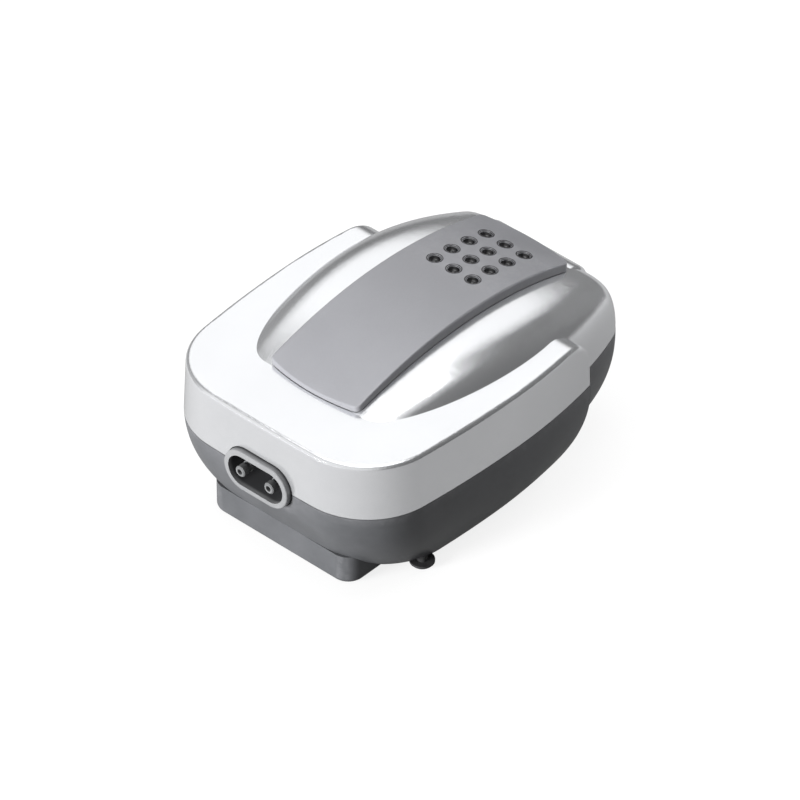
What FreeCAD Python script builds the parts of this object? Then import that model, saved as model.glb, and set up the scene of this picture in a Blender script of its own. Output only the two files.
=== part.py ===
"""Twin-outlet aquarium air pump, modelled as the separate pieces that come apart on a bench.

Frame: X to the right for someone who faces the outlets, Y backwards, +Z up. The origin is on the table
under the middle of the pump. Lengths are in millimetres.
"""
import FreeCAD, Part
import math
import os

import Sketcher
from FreeCAD import Placement, Rotation, Vector

OUT = "parts"
X_AXIS = Vector(1, 0, 0)
Y_AXIS = Vector(0, 1, 0)
Z_AXIS = Vector(0, 0, 1)
REACH = 300.0  # longer than the whole pump, for cutters that pass right through
NEAR = 0.01  # places closer than this count as the same
BEND_SHARE = 1 - math.sqrt(0.5)  # how far a quarter bend's middle stays from its corner, in radii

doc = FreeCAD.newDocument("air_pump")

# ---------------------------------------------------------------------------------------------
# Driving dimensions
# ---------------------------------------------------------------------------------------------
SIZES = {
    # casing
    "seam_height": 40.0,
    "seam_gap": 0.3,
    "wall": 2.4,
    "seat_gap": 0.3,
    "pod_half_width": 57.3,
    "pod_widest": -1.0,
    "pod_front": 76.0,
    "pod_fore_bow": 450.0,
    "pod_aft_bow": 235.0,
    "pod_front_bow": 800.0,
    "pod_corner": 30.0,
    # silver deck with its two side arms
    "deck_height": 63.0,
    "deck_draft": 0.8,
    "deck_edge": 1.8,
    "cut_spare": 4.0,
    "arm_rear": 43.5,
    "arm_rounding": 14.0,
    # domed roof that rises out of the deck
    "dome_half_width": 49.2,
    "dome_widest": 22.0,
    "dome_front_flare": 262.0,
    "dome_rear_flare": 140.0,
    "dome_middle": 10.0,
    "dome_front": 70.0,
    "dome_rear": 77.8,
    "roof_rise": 8.0,
    "roof_front_bow": 212.0,
    "roof_rear_bow": 176.0,
    "shoulder_drop": 24.0,
    "shoulder_power": 3.0,
    "rear_rounding": 13.0,
    "hidden_skirt": 10.0,
    # dark lower tub
    "tub_bottom": 2.6,
    "tub_draw": 11.0,
    "tub_power": 2.4,
    "nose_draw": 7.0,
    "nose_power": 1.3,
    "skirt_half_width": 34.8,
    "skirt_front": 66.3,
    "skirt_rear": 34.0,
    "skirt_top": 13.0,
    "skirt_bottom": 0.6,
    "skirt_corner": 7.0,
    "skirt_edge": 2.0,
    # top cover plate and the heel behind it
    "plate_half_width": 21.56,
    "plate_front": 46.9,
    "plate_rear": 66.1,
    "plate_end_bow": 2.7,
    "plate_step": 4.0,
    "plate_bow": 180.0,
    "plate_corner": 2.4,
    "plate_edge": 0.8,
    "heel_half_width": 22.5,
    "heel_rear": 77.4,
    "heel_rounding": 9.0,
    "heel_edge": 3.0,
    "vent_pitch": 9.3,
    "vent_first": 27.5,
    "vent_radius": 2.2,
    "vent_rim": 0.45,
    "vent_depth": 2.0,
    # outlet recess
    "outlet_height": 39.6,
    "bezel_half_length": 15.5,
    "bezel_half_height": 8.7,
    "bezel_rim": 2.2,
    "bezel_proud": 2.2,
    "bezel_depth": 14.0,
    "bezel_back": 2.0,
    "bezel_edge": 0.6,
    "nozzle_offset": 7.0,
    "nozzle_stem": 1.9,
    "nozzle_barb": 2.25,
    "nozzle_tip": 1.85,
    "nozzle_land": 2.4,
    "nozzle_lead": 0.4,
    "bead_gap": 1.6,
    "bead_width": 1.3,
    "nozzle_bore": 1.15,
    "nozzle_length": 14.8,
    "nozzle_inner_length": 6.0,
    "barb_length": 2.6,
    "nozzle_fit": 0.03,
    # mains cord gland at the rear
    "gland_height": 31.0,
    "gland_radius": 5.2,
    "gland_bore": 2.9,
    "gland_proud": 1.0,
    "gland_sink": 1.6,
    "gland_neck": 3.8,
    "gland_inner": 4.6,
    # rubber feet
    "foot_radius": 4.7,
    "foot_front_inset": 13.3,
    "foot_front": 37.6,
    "foot_rear_inset": 21.2,
    "foot_rear": 46.0,
    "foot_stem": 2.0,
    "foot_fit": 0.05,
    "foot_height": 2.3,
    "foot_pad_radius": 2.35,
    "foot_low_radius": 4.0,
    "foot_low_height": 0.6,
    "foot_full_height": 1.4,
    "foot_stem_proud": 0.8,
    # casing screws in their posts
    "post_radius": 4.0,
    "post_front_side": 16.0,
    "post_front": 31.0,
    "post_rear_side": 27.0,
    "post_rear": 60.0,
    "screw_radius": 1.45,
    "screw_head": 2.7,
    "screw_head_height": 1.8,
    "screw_recess": 4.0,
    "screw_length": 48.0,
    "screw_play": 0.05,
    "screw_clearance": 0.2,
    "screw_seat": 0.1,
    # intake filter in the front block
    "filter_half_length": 23.0,
    "filter_half_width": 9.0,
    "filter_middle": 49.0,
    "filter_depth": 7.0,
    "filter_pad": 3.5,
    "filter_cover": 1.5,
    "breather_pitch": 8.0,
    "breather_radius": 2.0,
    # electromagnet
    "magnet_middle": 38.0,
    "magnet_height": 34.0,
    "core_stack": 16.0,
    "limb_width": 8.0,
    "shoe_width": 24.0,
    "shoe_thickness": 4.0,
    "valve_room": 4.1,
    "bobbin_wall": 1.0,
    "bobbin_clearance": 0.6,
    "flange_size": 27.0,
    "flange_thickness": 1.4,
    "coil_build": 7.0,
    "winding_fit": 0.1,
    "cradle_floor": 1.5,
    "cradle_height": 18.0,
    "cradle_post_radius": 3.0,
    "cradle_post_inset": 6.0,
    "cradle_post_side": 8.0,
    # swinging levers
    "air_gap": 2.8,
    "magnet_thickness": 5.0,
    "magnet_length": 20.0,
    "magnet_tall": 14.0,
    "lever_thickness": 3.0,
    "lever_tall": 12.0,
    "lever_rear": 50.0,
    "hinge_back": 30.0,
    "hinge_radius": 4.0,
    "pin_radius": 1.5,
    "pin_fit": 0.05,
    "ear_thickness": 3.0,
    "ear_gap": 0.4,
    "button_offset": 4.0,
    "button_radius": 6.0,
    "button_length": 2.4,
    # diaphragms and valve boxes
    "diaphragm_radius": 11.5,
    "diaphragm_lip": 9.3,
    "diaphragm_rim": 1.3,
    "diaphragm_web": 0.8,
    "clamp_ring": 1.2,
    "web_radius": 9.8,
    "stroke_room": 1.2,
    "chamber_depth": 3.0,
    "valve_thickness": 10.6,
    "valve_half_length": 14.0,
    "valve_half_tall": 12.5,
    "valve_wall": 1.6,
    "port_depth": 4.0,
    "port_radius": 1.2,
    "flap_radius": 3.2,
    "flap_thickness": 0.6,
    "flap_offset": 6.2,
    "flap_seat": 0.2,
    "valve_cover": 1.6,
    "gasket": 0.8,
    "leg_thickness": 5.0,
    "leg_width": 4.0,
    "nipple_length": 8.0,
    "nipple_inset": 4.0,
    "hose_bore": 2.3,
    "hose_radius": 3.1,
    "hose_bend": 12.0,
    "hose_back": 45.0,
    "button_boss": 2.4,
    "boss_radius": 4.5,
    "lever_rib": 2.0,
    "hinge_room": 0.6,
    "cradle_rail": 3.0,
    "coil_tall": 2.6,
    "slot_pitch": 5.6,
    "slot_width": 2.2,
}

sizes = doc.addObject("Spreadsheet::Sheet", "sizes")
for row, (alias, number) in enumerate(SIZES.items(), start=1):
    sizes.set("A%d" % row, alias)
    sizes.set("B%d" % row, str(number))
    sizes.setAlias("B%d" % row, alias)
doc.recompute()

nodes = []


def size(alias):
    """The number that the sheet holds under this alias."""
    return float(sizes.get(alias))


def worked(expression):
    """The value of an expression in the sheet's aliases, each written as sizes.NAME."""
    result = sizes.evalExpression(expression)
    return float(getattr(result, "Value", result))


def keep(item, label):
    """Name an object as one of the pump's separate pieces."""
    item.Label = label
    nodes.append(item)
    return item


# ---------------------------------------------------------------------------------------------
# Ways to make a piece
# ---------------------------------------------------------------------------------------------
def free_form(label, shape):
    """A moulded piece whose surfaces no primitive or sketch gives."""
    item = doc.addObject("Part::Feature", label)
    item.Shape = shape
    item.Placement = Placement(Vector(0, 0, 0), Rotation())
    return keep(item, label)


def block(name, low, high):
    """A box between two corners, each written as three expressions."""
    item = doc.addObject("Part::Box", name)
    for axis, length, start, end in zip("xyz", ("Length", "Width", "Height"), low, high):
        item.setExpression("Placement.Base." + axis, start)
        item.setExpression(length, "(%s) - (%s)" % (end, start))
    return item


def rod(name, radius, length, base, turn=None):
    """A cylinder from its base point along +Z, or along another axis after a turn."""
    item = doc.addObject("Part::Cylinder", name)
    if turn is not None:
        item.Placement = Placement(Vector(0, 0, 0), Rotation(Z_AXIS, turn))
    item.setExpression("Radius", radius)
    item.setExpression("Height", length)
    for axis, place in zip("xyz", base):
        item.setExpression("Placement.Base." + axis, place)
    return item


def joined(name, pieces):
    """Several solids of one piece, fused."""
    item = doc.addObject("Part::MultiFuse", name)
    item.Shapes = pieces
    return item


def less(name, base, tool):
    """One solid with another taken out of it."""
    item = doc.addObject("Part::Cut", name)
    item.Base = base
    item.Tool = tool
    return item


def grouped(name, pieces):
    """Identical loose pieces that share a node."""
    item = doc.addObject("Part::Compound", name)
    item.Links = pieces
    return item


def mirrored(name, source):
    """The left-hand copy of a right-hand piece."""
    item = doc.addObject("Part::Mirroring", name)
    item.Source = source
    item.Normal = X_AXIS
    return item


def both_sides(stem, item):
    """Keep a right-hand piece and its left-hand copy."""
    keep(item, "right_" + stem)
    keep(mirrored("left_" + stem, item), "left_" + stem)


def origin_plane(body, role):
    """One of the body's own origin planes or axes."""
    return next(item for item in body.Origin.OriginFeatures if item.Role == role)


def outline(body, name, corners, role="XY_Plane"):
    """A closed straight-sided sketch whose corners are pairs of expressions."""
    sketch = body.newObject("Sketcher::SketchObject", name)
    sketch.AttachmentSupport = (origin_plane(body, role), [""])
    sketch.MapMode = "FlatFace"
    spots = [Vector(worked(across), worked(up), 0) for across, up in corners]
    for number, spot in enumerate(spots):
        sketch.addGeometry(Part.LineSegment(spot, spots[(number + 1) % len(spots)]), False)
    for number, (across, up) in enumerate(corners):
        following = (number + 1) % len(corners)
        sketch.addConstraint(Sketcher.Constraint("Coincident", number, 2, following, 1))
        for kind, axis, expression in (("DistanceX", -2, across), ("DistanceY", -1, up)):
            if expression == "0":
                sketch.addConstraint(Sketcher.Constraint("PointOnObject", number, 1, axis))
            else:
                rule = Sketcher.Constraint(kind, -1, 1, number, 1, worked(expression))
                place = sketch.addConstraint(rule)
                sketch.setExpression("Constraints[%d]" % place, expression)
    return sketch


def turned(name, corners, places):
    """A revolved piece about its own Z axis, from a profile of radius and height."""
    body = doc.addObject("PartDesign::Body", name)
    sketch = outline(body, name + "_profile", corners, "XZ_Plane")
    turn = body.newObject("PartDesign::Revolution", name + "_turn")
    turn.Profile = sketch
    turn.ReferenceAxis = (sketch, ["V_Axis"])
    turn.Angle = 360.0
    for axis, place in zip("xyz", places):
        body.setExpression("Placement.Base." + axis, place)
    return body


def padded(name, corners, height, places):
    """A straight piece pushed up from a plan by a height, evenly about its sketch."""
    body = doc.addObject("PartDesign::Body", name)
    sketch = outline(body, name + "_plan", corners)
    pad = body.newObject("PartDesign::Pad", name + "_pad")
    pad.Profile = sketch
    pad.Midplane = True
    pad.setExpression("Length", height)
    for axis, place in zip("xyz", places):
        body.setExpression("Placement.Base." + axis, place)
    return body


# ---------------------------------------------------------------------------------------------
# Heights and reaches that several pieces share
# ---------------------------------------------------------------------------------------------
roof_height = size("deck_height") + size("roof_rise")
plate_crown = roof_height + size("plate_step")
STACK = ("(sizes.air_gap + sizes.magnet_thickness + sizes.lever_thickness + sizes.button_boss"
         " + sizes.button_length + sizes.stroke_room + sizes.valve_thickness + sizes.gasket"
         " + sizes.valve_cover + 2 * sizes.seat_gap + 2 * sizes.flap_seat)")
CORE_END = "(sizes.pod_half_width - sizes.wall - sizes.valve_room - %s)" % STACK
BOBBIN_END = "(%s - sizes.shoe_thickness - sizes.bobbin_clearance)" % CORE_END
FRONT_FOOT = "(sizes.pod_half_width - sizes.foot_front_inset)"
REAR_FOOT = "(sizes.dome_half_width - sizes.foot_rear_inset)"


# ---------------------------------------------------------------------------------------------
# Casing forms: the pod's plan, the dome and the heel, each also available shrunk by a wall
# ---------------------------------------------------------------------------------------------
def across_pump(spot):
    """The same place on the other side of the pump."""
    return Vector(-spot.x, spot.y, spot.z)


def uprights(form):
    """The edges of a form that run straight up."""
    return [edge for edge in form.Edges if abs(edge.tangentAt(0).z) > 1 - NEAR]


def meeting(first, first_radius, second, second_radius):
    """The front right meeting point of two circles in a plan, given by centre and radius."""
    gap = second - first
    along = (gap.Length ** 2 + first_radius ** 2 - second_radius ** 2) / (2 * gap.Length)
    aside = math.sqrt(first_radius ** 2 - along ** 2)
    unit = Vector(gap).normalize()
    foot = first + unit * along
    normal = Vector(-unit.y, unit.x, 0)
    return min(foot + normal * aside, foot - normal * aside, key=lambda spot: spot.y - spot.x)


def pod_plan(inset, height, rear, nose=0.0):
    """Bowed front, rounded corners and bowed sides, closed straight across at the rear.

    The nose is a further inset of the front alone.
    """
    fore_radius = size("pod_fore_bow") - inset
    fore_centre = Vector(size("pod_half_width") - size("pod_fore_bow"), size("pod_widest"), 0)
    aft_radius = size("pod_aft_bow") - inset
    aft_centre = Vector(size("pod_half_width") - size("pod_aft_bow"), size("pod_widest"), 0)
    front_radius = size("pod_front_bow") - inset - nose
    front_centre = Vector(0, size("pod_front_bow") - size("pod_front"), 0)
    corner = size("pod_corner")
    middle = meeting(front_centre, front_radius - corner, fore_centre, fore_radius - corner)
    on_front = middle + (middle - front_centre).normalize() * corner
    on_side = middle + (middle - fore_centre).normalize() * corner
    between = middle + ((on_front + on_side) * 0.5 - middle).normalize() * corner
    widest = Vector(fore_centre.x + fore_radius, fore_centre.y, 0)
    at_rear = Vector(aft_centre.x + math.sqrt(aft_radius ** 2 - (rear - aft_centre.y) ** 2), rear, 0)
    fore = fore_centre + ((on_side + widest) * 0.5 - fore_centre).normalize() * fore_radius
    aft = aft_centre + ((at_rear + widest) * 0.5 - aft_centre).normalize() * aft_radius
    front_tip = Vector(0, front_centre.y - front_radius, 0)
    half = [(on_front, between, on_side), (on_side, fore, widest), (widest, aft, at_rear)]
    edges = [Part.Arc(across_pump(on_front), front_tip, on_front).toShape()]
    edges += [Part.Arc(*spots).toShape() for spots in half]
    edges.append(Part.makeLine(at_rear, across_pump(at_rear)))
    edges += [Part.Arc(*[across_pump(spot) for spot in reversed(spots)]).toShape()
              for spots in reversed(half)]
    plan = Part.Wire(edges)
    plan.translate(Z_AXIS * height)
    return plan


def deck_form(inset, low):
    """Silver band and flat deck, whose side arms round over at the rear."""
    top = size("deck_height") - inset
    rear = size("arm_rear") - inset
    spare = size("cut_spare")
    lean = size("deck_draft") / (size("deck_height") - size("seam_height"))
    foot = pod_plan(inset + lean * (low - size("seam_height")), low, rear + spare)
    head = pod_plan(inset + lean * (top + spare - size("seam_height")), top + spare, rear + spare)
    band = Part.makeLoft([foot, head], True, True)
    bend = size("arm_rounding") - inset
    start = Vector(-REACH, rear, low)
    turn_low = Vector(-REACH, rear, top - bend)
    diagonal = bend * BEND_SHARE
    turn_mid = Vector(-REACH, rear - diagonal, top - diagonal)
    turn_top = Vector(-REACH, rear - bend, top)
    far_top = Vector(-REACH, -REACH, top)
    far_low = Vector(-REACH, -REACH, low)
    side_view = Part.Wire([
        Part.makeLine(start, turn_low),
        Part.Arc(turn_low, turn_mid, turn_top).toShape(),
        Part.makeLine(turn_top, far_top),
        Part.makeLine(far_top, far_low),
        Part.makeLine(far_low, start),
    ])
    slab = Part.Face(side_view).extrude(X_AXIS * 2 * REACH)
    band = band.common(slab)
    if inset > 0:
        return band
    rim = [edge for edge in band.Edges if on_deck_rim(edge, top, low, rear)]
    return band.makeFillet(size("deck_edge"), rim)


def on_deck_rim(edge, top, low, rear):
    """True for the deck's outer edge and for the outer edges of the two rounded arm ends."""
    middle = edge.valueAt((edge.FirstParameter + edge.LastParameter) / 2)
    ends = [spot.Point for spot in edge.Vertexes]
    across = abs(ends[0].x + ends[-1].x) < NEAR and abs(ends[0].y - ends[-1].y) < NEAR
    on_top = abs(middle.z - top) < NEAR
    if across and middle.y > 0:
        return False
    on_bend = middle.y > rear - size("arm_rounding") and low + NEAR < middle.z < top - NEAR
    upright = abs(ends[0].y - ends[-1].y) < NEAR and on_bend
    return (on_top or on_bend) and not upright


def fall(gap, front_radius, rear_radius):
    """How far an arc has fallen away at a distance ahead of its peak or behind it."""
    radius = front_radius if gap < 0 else rear_radius
    return radius - math.sqrt(radius ** 2 - gap ** 2)


def roof_line(place):
    """Height of the dome's crown at a place along Y."""
    gap = place - size("dome_middle")
    return roof_height - fall(gap, size("roof_front_bow"), size("roof_rear_bow"))


def dome_side(place):
    """Half width of the dome at a place along Y."""
    gap = place - size("dome_widest")
    return size("dome_half_width") - fall(gap, size("dome_front_flare"), size("dome_rear_flare"))


def dome_section(place, inset, low):
    """Flat roof strip, shoulders rounded as a superellipse, and upright sides."""
    half = dome_side(place) - inset
    crown = roof_line(place) - inset
    flat = size("plate_half_width")
    drop = size("shoulder_drop")
    steps = 8
    right = []
    for step in range(steps + 1):
        angle = math.pi / 2 * step / steps
        across = flat + (half - flat) * math.sin(angle) ** (2 / size("shoulder_power"))
        up = crown - drop + drop * math.cos(angle) ** (2 / size("shoulder_power"))
        right.append(Vector(across, place, up))
    left = [across_pump(spot) for spot in reversed(right)]
    shoulders = []
    for spots in (left, right):
        curve = Part.BSplineCurve()
        curve.interpolate(spots)
        shoulders.append(curve.toShape())
    low_left = Vector(-half, place, low)
    low_right = Vector(half, place, low)
    return Part.Wire([
        Part.makeLine(low_left, left[0]),
        shoulders[0],
        Part.makeLine(left[-1], right[0]),
        shoulders[1],
        Part.makeLine(right[-1], low_right),
        Part.makeLine(low_right, low_left),
    ])


def dome_form(inset, low):
    """Domed roof, flared in plan, with a rounded rear."""
    front = -size("dome_front") + inset
    rear = size("dome_rear") - inset
    stations = 7
    places = [front + (rear - front) * step / (stations - 1) for step in range(stations)]
    form = Part.makeLoft([dome_section(place, inset, low) for place in places], True, False)
    chain = [edge for edge in form.Edges
             if all(abs(spot.Point.y - rear) < NEAR for spot in edge.Vertexes)
             and edge.BoundBox.ZMax > low + NEAR]
    return form.makeFillet(size("rear_rounding") - inset, chain)


def bowed_plan(front, rear, half, bow, height):
    """Plan with straight sides and ends that bow outwards, all at one height."""
    corners = [Vector(-half, front, height), Vector(half, front, height),
               Vector(half, rear, height), Vector(-half, rear, height)]
    return Part.Wire([
        Part.Arc(corners[0], Vector(0, front - bow, height), corners[1]).toShape(),
        Part.makeLine(corners[1], corners[2]),
        Part.Arc(corners[2], Vector(0, rear + bow, height), corners[3]).toShape(),
        Part.makeLine(corners[3], corners[0]),
    ])


def under_plate_arc():
    """Everything below the plate's long arc."""
    radius = size("plate_bow")
    centre = Vector(-REACH, size("dome_middle"), plate_crown - size("plate_bow"))
    return Part.makeCylinder(radius, 2 * REACH, centre, X_AXIS)


def heel_form():
    """Raised heel of the roof strip, which rolls over behind the plate."""
    half = size("heel_half_width")
    rear = size("heel_rear")
    top = roof_line(rear - size("heel_rounding"))
    front = rear - 2 * size("heel_rounding")
    heel = Part.makeBox(2 * half, rear - front, 2 * size("heel_rounding"),
                        Vector(-half, front, top - 2 * size("heel_rounding")))
    roll = [edge for edge in heel.Edges
            if edge.BoundBox.YMin > rear - NEAR and edge.BoundBox.ZMin > top - NEAR]
    heel = heel.makeFillet(size("heel_rounding"), roll)
    ends = [edge for edge in heel.Edges
            if edge.BoundBox.XLength < NEAR and edge.BoundBox.YMin > front + NEAR
            or edge.BoundBox.XLength < NEAR and edge.BoundBox.ZMin > top - NEAR]
    return heel.makeFillet(size("heel_edge"), ends)


def stadium(half_length, half_height, front, rear, middle):
    """Rounded-end prism along Y, centred across the pump."""
    arc = half_height
    straight = half_length - arc
    corners = [Vector(-straight, front, middle - arc), Vector(straight, front, middle - arc),
               Vector(straight, front, middle + arc), Vector(-straight, front, middle + arc)]
    wire = Part.Wire([
        Part.makeLine(corners[0], corners[1]),
        Part.Arc(corners[1], Vector(half_length, front, middle), corners[2]).toShape(),
        Part.makeLine(corners[2], corners[3]),
        Part.Arc(corners[3], Vector(-half_length, front, middle), corners[0]).toShape(),
    ])
    return Part.Face(wire).extrude(Y_AXIS * (rear - front))


TUB_LEVELS = (0.0, 0.25, 0.5, 0.72, 0.88, 1.0)  # shares of its depth, closer where it turns in


def tub_form(inset, top):
    """Dark tub: walls upright at the seam and drawn in ever faster towards the floor."""
    low = size("tub_bottom") + inset
    depth = size("seam_height") - size("tub_bottom")
    rear = size("arm_rear")
    pods = []
    rears = []
    for level in TUB_LEVELS:
        height = top - (top - low) * level
        share = max(0.0, (size("seam_height") - height) / depth)
        draw = inset + size("tub_draw") * share ** size("tub_power")
        nose = size("nose_draw") * share ** size("nose_power")
        pods.append(pod_plan(draw, height, rear - draw, nose))
        rears.append(rear_plan(draw, height))
    pod = Part.makeLoft(pods, True, False)
    back = Part.makeLoft(rears, True, False)
    return pod.fuse(back)


def rear_plan(draw, height):
    """Plan of the tub under the dome: flared sides and rounded rear corners."""
    bend = size("rear_rounding")
    rear = size("dome_rear") - draw
    radius = size("dome_rear_flare") - draw
    centre = Vector(size("dome_half_width") - size("dome_rear_flare"), size("dome_widest"), height)
    bend_y = rear - bend
    bend_x = centre.x + math.sqrt((radius - bend) ** 2 - (bend_y - centre.y) ** 2)
    middle = Vector(bend_x, bend_y, height)
    on_side = middle + (middle - centre).normalize() * bend
    on_rear = middle + Y_AXIS * bend
    between = middle + ((on_side + on_rear) * 0.5 - middle).normalize() * bend
    halfway = centre + ((on_side + Vector(centre.x + radius, centre.y, height)) * 0.5
                        - centre).normalize() * radius
    start = Vector(centre.x + radius, centre.y, height)
    return Part.Wire([
        Part.Arc(start, halfway, on_side).toShape(),
        Part.Arc(on_side, between, on_rear).toShape(),
        Part.makeLine(on_rear, across_pump(on_rear)),
        Part.Arc(across_pump(on_rear), across_pump(between), across_pump(on_side)).toShape(),
        Part.Arc(across_pump(on_side), across_pump(halfway), across_pump(start)).toShape(),
        Part.makeLine(across_pump(start), start),
    ])


def skirt_form(inset):
    """Front block under the tub that the pump stands its nose on."""
    half = size("skirt_half_width") - inset
    front = -size("skirt_front") + inset
    low = size("skirt_bottom")
    length = size("skirt_front") - size("skirt_rear") - 2 * inset
    form = Part.makeBox(2 * half, length, size("skirt_top") - low, Vector(-half, front, low))
    form = form.makeFillet(size("skirt_corner") - inset, uprights(form))
    rim = [edge for edge in form.Edges if edge.BoundBox.ZMax < low + NEAR]
    return form.makeFillet(size("skirt_edge"), rim)


def upright_posts(spots, radius, low, high):
    """Round posts standing at several places."""
    posts = [Part.makeCylinder(radius, high - low, Vector(across, along, low))
             for across, along in spots]
    return posts[0].fuse(posts[1:])


def four_places(side_front, front, side_rear, rear):
    """Left and right places near the front, then near the rear."""
    return [(-side_front, -front), (side_front, -front), (-side_rear, rear), (side_rear, rear)]


# ---------------------------------------------------------------------------------------------
# Casing
# ---------------------------------------------------------------------------------------------
seam = size("seam_height")
wall = size("wall")
screw_places = four_places(size("post_front_side"), size("post_front"),
                           size("post_rear_side"), size("post_rear"))
foot_places = four_places(worked(FRONT_FOOT), size("foot_front"), worked(REAR_FOOT), size("foot_rear"))
below_seam = Part.makeBox(2 * REACH, 2 * REACH, REACH, Vector(-REACH, -REACH, seam - REACH))
hidden_low = seam - size("hidden_skirt")
deck_outer = deck_form(0, hidden_low)
dome_outer = dome_form(0, hidden_low)
inside_top = size("deck_height") - wall
recess = stadium(size("bezel_half_length") + size("seat_gap"),
                 size("bezel_half_height") + size("seat_gap"),
                 -REACH, -size("pod_front") + size("bezel_depth"),
                 size("outlet_height"))
collar = stadium(size("bezel_half_length") + size("seat_gap") + wall,
                 size("bezel_half_height") + size("seat_gap") + wall,
                 -size("pod_front") + wall, -size("pod_front") + size("bezel_depth"),
                 size("outlet_height"))


def make_upper_casing():
    """Silver casing: band, deck, arms, dome and heel in one moulding with a constant wall."""
    outer = deck_outer.fuse(dome_outer).fuse(heel_form())
    inner = deck_form(wall, hidden_low).fuse(dome_form(wall, hidden_low))
    shell = outer.cut(inner)
    lid_posts = upright_posts(screw_places, size("post_radius"), seam, roof_height)
    shell = shell.fuse(lid_posts.common(outer))
    shell = shell.fuse(collar.common(outer))
    shell = shell.cut(recess)
    pilots = upright_posts(screw_places, size("screw_radius"), hidden_low, inside_top - wall)
    shell = shell.cut(pilots)
    return shell.cut(below_seam)


def make_lower_casing():
    """Dark tub with its front block, screw posts, cradle posts and filter recess."""
    top = seam - size("seam_gap")
    outer = tub_form(0, top)
    inner = tub_form(wall, top + NEAR)
    shell = outer.cut(inner)
    floor = size("tub_bottom") + wall
    block_form = skirt_form(0)
    shell = shell.fuse(block_form.cut(inner))
    posts = upright_posts(screw_places, size("post_radius"), floor - wall / 2, top)
    across = worked(CORE_END) - size("cradle_post_inset")
    cradle_spots = four_places(across, size("cradle_post_side") - size("magnet_middle"),
                               across, size("cradle_post_side") + size("magnet_middle"))
    posts = posts.fuse(upright_posts(cradle_spots, size("cradle_post_radius"), floor - wall / 2,
                                     size("cradle_height") - size("seat_gap")))
    shell = shell.fuse(posts.common(outer))
    shell = shell.fuse(collar.common(outer).common(below_seam_gap()))
    shell = shell.cut(recess)
    holes = upright_posts(screw_places, size("screw_radius") + size("screw_clearance"), -wall,
                          top + wall)
    heads = upright_posts(screw_places, size("screw_head") + size("seat_gap"), -wall,
                          size("tub_bottom") + size("screw_recess"))
    stems = upright_posts(foot_places, size("foot_stem") + size("foot_fit"), -wall, floor + wall)
    shell = shell.cut(holes).cut(heads).cut(stems)
    seat = size("dome_rear") - size("gland_sink") - size("seat_gap")
    gland_spot = Vector(0, seat, size("gland_height"))
    flange_seat = Part.makeCylinder(size("gland_radius") + size("seat_gap"), REACH, gland_spot, Y_AXIS)
    neck_hole = Part.makeCylinder(size("gland_neck") + size("foot_fit"), REACH, gland_spot, -Y_AXIS)
    neck_hole = neck_hole.common(Part.makeBox(REACH, REACH, REACH, Vector(-REACH / 2, 0, 0)))
    shell = shell.cut(flange_seat).cut(neck_hole)
    filter_low = -wall
    filter_top = size("skirt_bottom") + size("filter_depth")
    tray = Part.makeBox(2 * size("filter_half_length"), 2 * size("filter_half_width"),
                        filter_top - filter_low,
                        Vector(-size("filter_half_length"),
                               -size("filter_middle") - size("filter_half_width"), filter_low))
    breather_spots = [(order * size("breather_pitch"), -size("filter_middle"))
                      for order in (-1, 0, 1)]
    breather = upright_posts(breather_spots, size("breather_radius"), filter_low,
                             size("skirt_top") + wall)
    return shell.cut(tray).cut(breather)


def below_seam_gap():
    """Everything under the tub's top edge."""
    top = seam - size("seam_gap")
    return Part.makeBox(2 * REACH, 2 * REACH, REACH, Vector(-REACH, -REACH, top - REACH))


upper_casing = free_form("upper_casing", make_upper_casing())
lower_casing = free_form("lower_casing", make_lower_casing())


VENT_COLUMNS = (-1, 0, 1)
VENT_ROWS = 4


def make_cover_plate():
    """Bowed cover plate with twelve dished vents in a grid along its rear half."""
    low = size("deck_height") - wall
    plan = bowed_plan(-size("plate_front"), size("plate_rear"), size("plate_half_width"),
                      size("plate_end_bow"), low)
    prism = Part.Face(plan).extrude(Z_AXIS * (plate_crown + wall - low))
    prism = prism.makeFillet(size("plate_corner"), uprights(prism))
    plate = prism.common(under_plate_arc())
    rim = [edge for edge in plate.Edges if edge.BoundBox.ZMin > low + NEAR]
    plate = plate.makeFillet(size("plate_edge"), rim)
    lifted = dome_outer.fuse(deck_outer)
    lifted.translate(Vector(0, 0, size("seat_gap")))
    plate = plate.cut(lifted)
    for column in VENT_COLUMNS:
        for order in range(VENT_ROWS):
            along = size("vent_first") + order * size("vent_pitch")
            plate = plate.cut(vent_cutter(column * size("vent_pitch"), along))
    return plate


def vent_cutter(across, along):
    """Dished vent with a flared rim, square to the plate's arc."""
    radius = size("vent_radius")
    rim = size("vent_rim")
    bow = size("plate_bow")
    tilt = math.asin((along - size("dome_middle")) / bow)
    cup = Part.makeCylinder(radius, size("vent_depth"), Vector(0, 0, bow - size("vent_depth")))
    flare = Part.makeCone(radius, radius + 2 * rim, 2 * rim, Vector(0, 0, bow - rim))
    cutter = cup.fuse(flare)
    cutter.rotate(Vector(0, 0, 0), X_AXIS, -math.degrees(tilt))
    cutter.translate(Vector(across, size("dome_middle"), plate_crown - bow))
    return cutter


top_cover_plate = free_form("top_cover_plate", make_cover_plate())


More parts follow.
